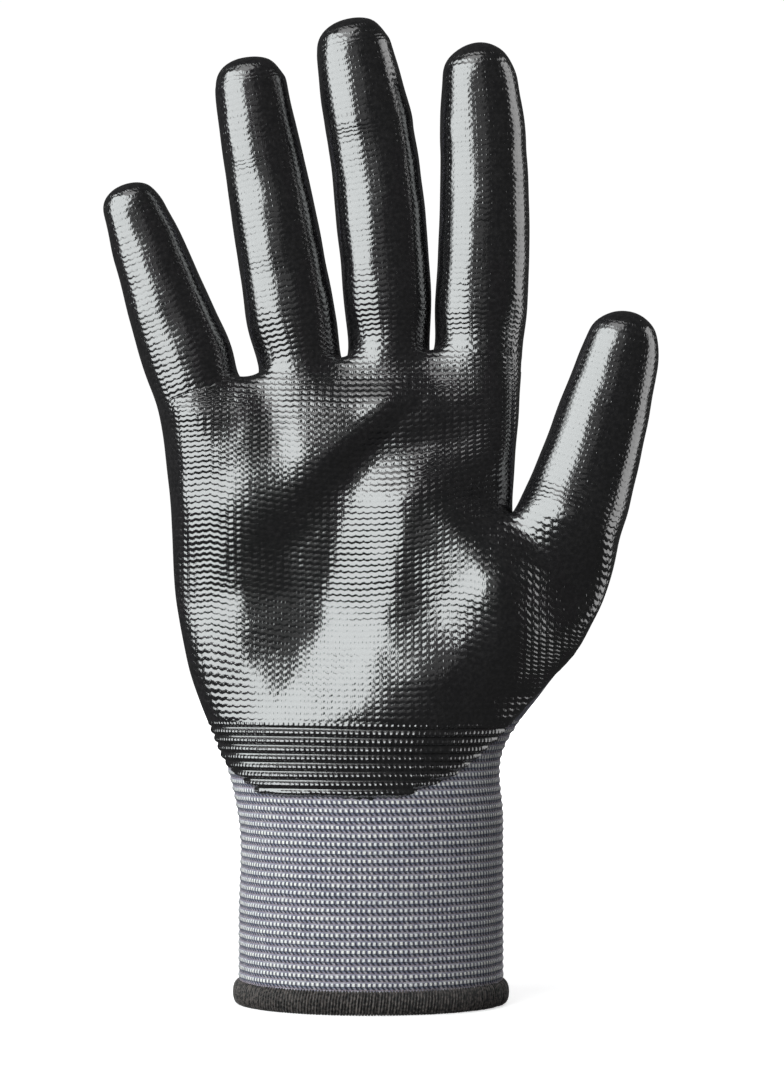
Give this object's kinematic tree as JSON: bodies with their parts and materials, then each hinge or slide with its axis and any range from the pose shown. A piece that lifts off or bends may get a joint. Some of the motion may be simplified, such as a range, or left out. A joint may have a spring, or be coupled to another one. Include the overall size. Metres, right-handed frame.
{
  "type": "work glove",
  "caption": "Seamless knitted work glove for the right hand with a smooth rubber film over the palm and fingertips, a ribbed elastic cuff and a bound hem.",
  "frame": {"origin": "centre of the glove's bounding box in X and Y, at the underside of the cuff hem", "axes": "+Z from the hem to the fingertips, -Y is the palm side, +X is the thumb side"},
  "size_m": [0.1379, 0.0476, 0.2462],
  "materials": {
    "marl_knit": "blue-grey and white marl nylon knit",
    "nitrile_film": "glossy black nitrile that shows the knit through it",
    "hem_thread": "charcoal overlock thread",
    "elastic_yarn": "white covered elastic yarn"
  },
  "bodies": {
    "cuff": {"liner_cuff": "marl_knit", "cuff_elastic": "elastic_yarn", "hem_binding": "hem_thread"},
    "palm": {"liner_palm": "marl_knit", "coating_palm": "nitrile_film"},
    "little_base": {"liner_little_base": "marl_knit", "coating_little_base": "nitrile_film"},
    "little_middle": {"liner_little_middle": "marl_knit", "coating_little_middle": "nitrile_film"},
    "little_tip": {"liner_little_tip": "marl_knit", "coating_little_tip": "nitrile_film"},
    "ring_base": {"liner_ring_base": "marl_knit", "coating_ring_base": "nitrile_film"},
    "ring_middle": {"liner_ring_middle": "marl_knit", "coating_ring_middle": "nitrile_film"},
    "ring_tip": {"liner_ring_tip": "marl_knit", "coating_ring_tip": "nitrile_film"},
    "middle_base": {"liner_middle_base": "marl_knit", "coating_middle_base": "nitrile_film"},
    "middle_middle": {"liner_middle_middle": "marl_knit", "coating_middle_middle": "nitrile_film"},
    "middle_tip": {"liner_middle_tip": "marl_knit", "coating_middle_tip": "nitrile_film"},
    "index_base": {"liner_index_base": "marl_knit", "coating_index_base": "nitrile_film"},
    "index_middle": {"liner_index_middle": "marl_knit", "coating_index_middle": "nitrile_film"},
    "index_tip": {"liner_index_tip": "marl_knit", "coating_index_tip": "nitrile_film"},
    "thumb_base": {"liner_thumb_base": "marl_knit", "coating_thumb_base": "nitrile_film"},
    "thumb_tip": {"liner_thumb_tip": "marl_knit", "coating_thumb_tip": "nitrile_film"}
  },
  "joints": [
    {"name": "wrist_bend", "type": "hinge", "parent": "cuff", "child": "palm", "pos_m": [-0.0025, 0, 0.046], "axis": [1, 0, 0], "range_deg": [-30, 30], "stiffness_Nm_per_rad": 0.4},
    {"name": "little_root_bend", "type": "hinge", "parent": "palm", "child": "little_base", "pos_m": [-0.0454, -0.00379, 0.1525], "axis": [0.9856, 0, 0.1693], "range_deg": [-15, 80], "stiffness_Nm_per_rad": 0.06},
    {"name": "little_middle_bend", "type": "hinge", "parent": "little_base", "child": "little_middle", "pos_m": [-0.05362, -0.00404, 0.17573], "axis": [0.9426, 0, 0.3338], "range_deg": [0, 80], "stiffness_Nm_per_rad": 0.06},
    {"name": "little_end_bend", "type": "hinge", "parent": "little_middle", "child": "little_tip", "pos_m": [-0.05849, -0.00441, 0.18945], "axis": [0.9426, 0, 0.3338], "range_deg": [0, 44]},
    {"name": "ring_root_bend", "type": "hinge", "parent": "palm", "child": "ring_base", "pos_m": [-0.0202, -0.00364, 0.159], "axis": [0.9962, 0, 0.0872], "range_deg": [-15, 80], "stiffness_Nm_per_rad": 0.06},
    {"name": "ring_middle_bend", "type": "hinge", "parent": "ring_base", "child": "ring_middle", "pos_m": [-0.0262, -0.00442, 0.19306], "axis": [0.9848, 0, 0.1736], "range_deg": [0, 80], "stiffness_Nm_per_rad": 0.06},
    {"name": "ring_end_bend", "type": "hinge", "parent": "ring_middle", "child": "ring_tip", "pos_m": [-0.03003, -0.00539, 0.21473], "axis": [0.9848, 0, 0.1736], "range_deg": [0, 44]},
    {"name": "middle_root_bend", "type": "hinge", "parent": "palm", "child": "middle_base", "pos_m": [0.0019, -0.0035, 0.1625], "axis": [1, 0, 0.0026], "range_deg": [-15, 80], "stiffness_Nm_per_rad": 0.06},
    {"name": "middle_middle_bend", "type": "hinge", "parent": "middle_base", "child": "middle_middle", "pos_m": [-0.00023, -0.00466, 0.1994], "axis": [0.994, 0, 0.1095], "range_deg": [0, 80], "stiffness_Nm_per_rad": 0.06},
    {"name": "middle_end_bend", "type": "hinge", "parent": "middle_middle", "child": "middle_tip", "pos_m": [-0.0036, -0.00596, 0.22288], "axis": [0.9847, 0, 0.1743], "range_deg": [0, 44]},
    {"name": "index_root_bend", "type": "hinge", "parent": "palm", "child": "index_base", "pos_m": [0.0242, -0.00372, 0.1625], "axis": [0.9988, 0, -0.048], "range_deg": [-15, 80], "stiffness_Nm_per_rad": 0.06},
    {"name": "index_middle_bend", "type": "hinge", "parent": "index_base", "child": "index_middle", "pos_m": [0.02592, -0.00458, 0.19655], "axis": [1, 0, -0.0053], "range_deg": [0, 80], "stiffness_Nm_per_rad": 0.06},
    {"name": "index_end_bend", "type": "hinge", "parent": "index_middle", "child": "index_tip", "pos_m": [0.02541, -0.0057, 0.21837], "axis": [0.9987, 0, 0.0517], "range_deg": [0, 44]},
    {"name": "thumb_root_bend", "type": "hinge", "parent": "palm", "child": "thumb_base", "pos_m": [0.0465, -0.01064, 0.12], "axis": [0.9367, 0, -0.3502], "range_deg": [-10, 45], "stiffness_Nm_per_rad": 0.06},
    {"name": "thumb_end_bend", "type": "hinge", "parent": "thumb_base", "child": "thumb_tip", "pos_m": [0.05448, -0.01073, 0.14393], "axis": [0.9595, 0, -0.2819], "range_deg": [0, 70], "stiffness_Nm_per_rad": 0.06}
  ],
  "couplings": [
    {"joint": "little_end_bend", "follows": "little_middle_bend", "ratio": 0.55},
    {"joint": "ring_end_bend", "follows": "ring_middle_bend", "ratio": 0.55},
    {"joint": "middle_end_bend", "follows": "middle_middle_bend", "ratio": 0.55},
    {"joint": "index_end_bend", "follows": "index_middle_bend", "ratio": 0.55}
  ]
}
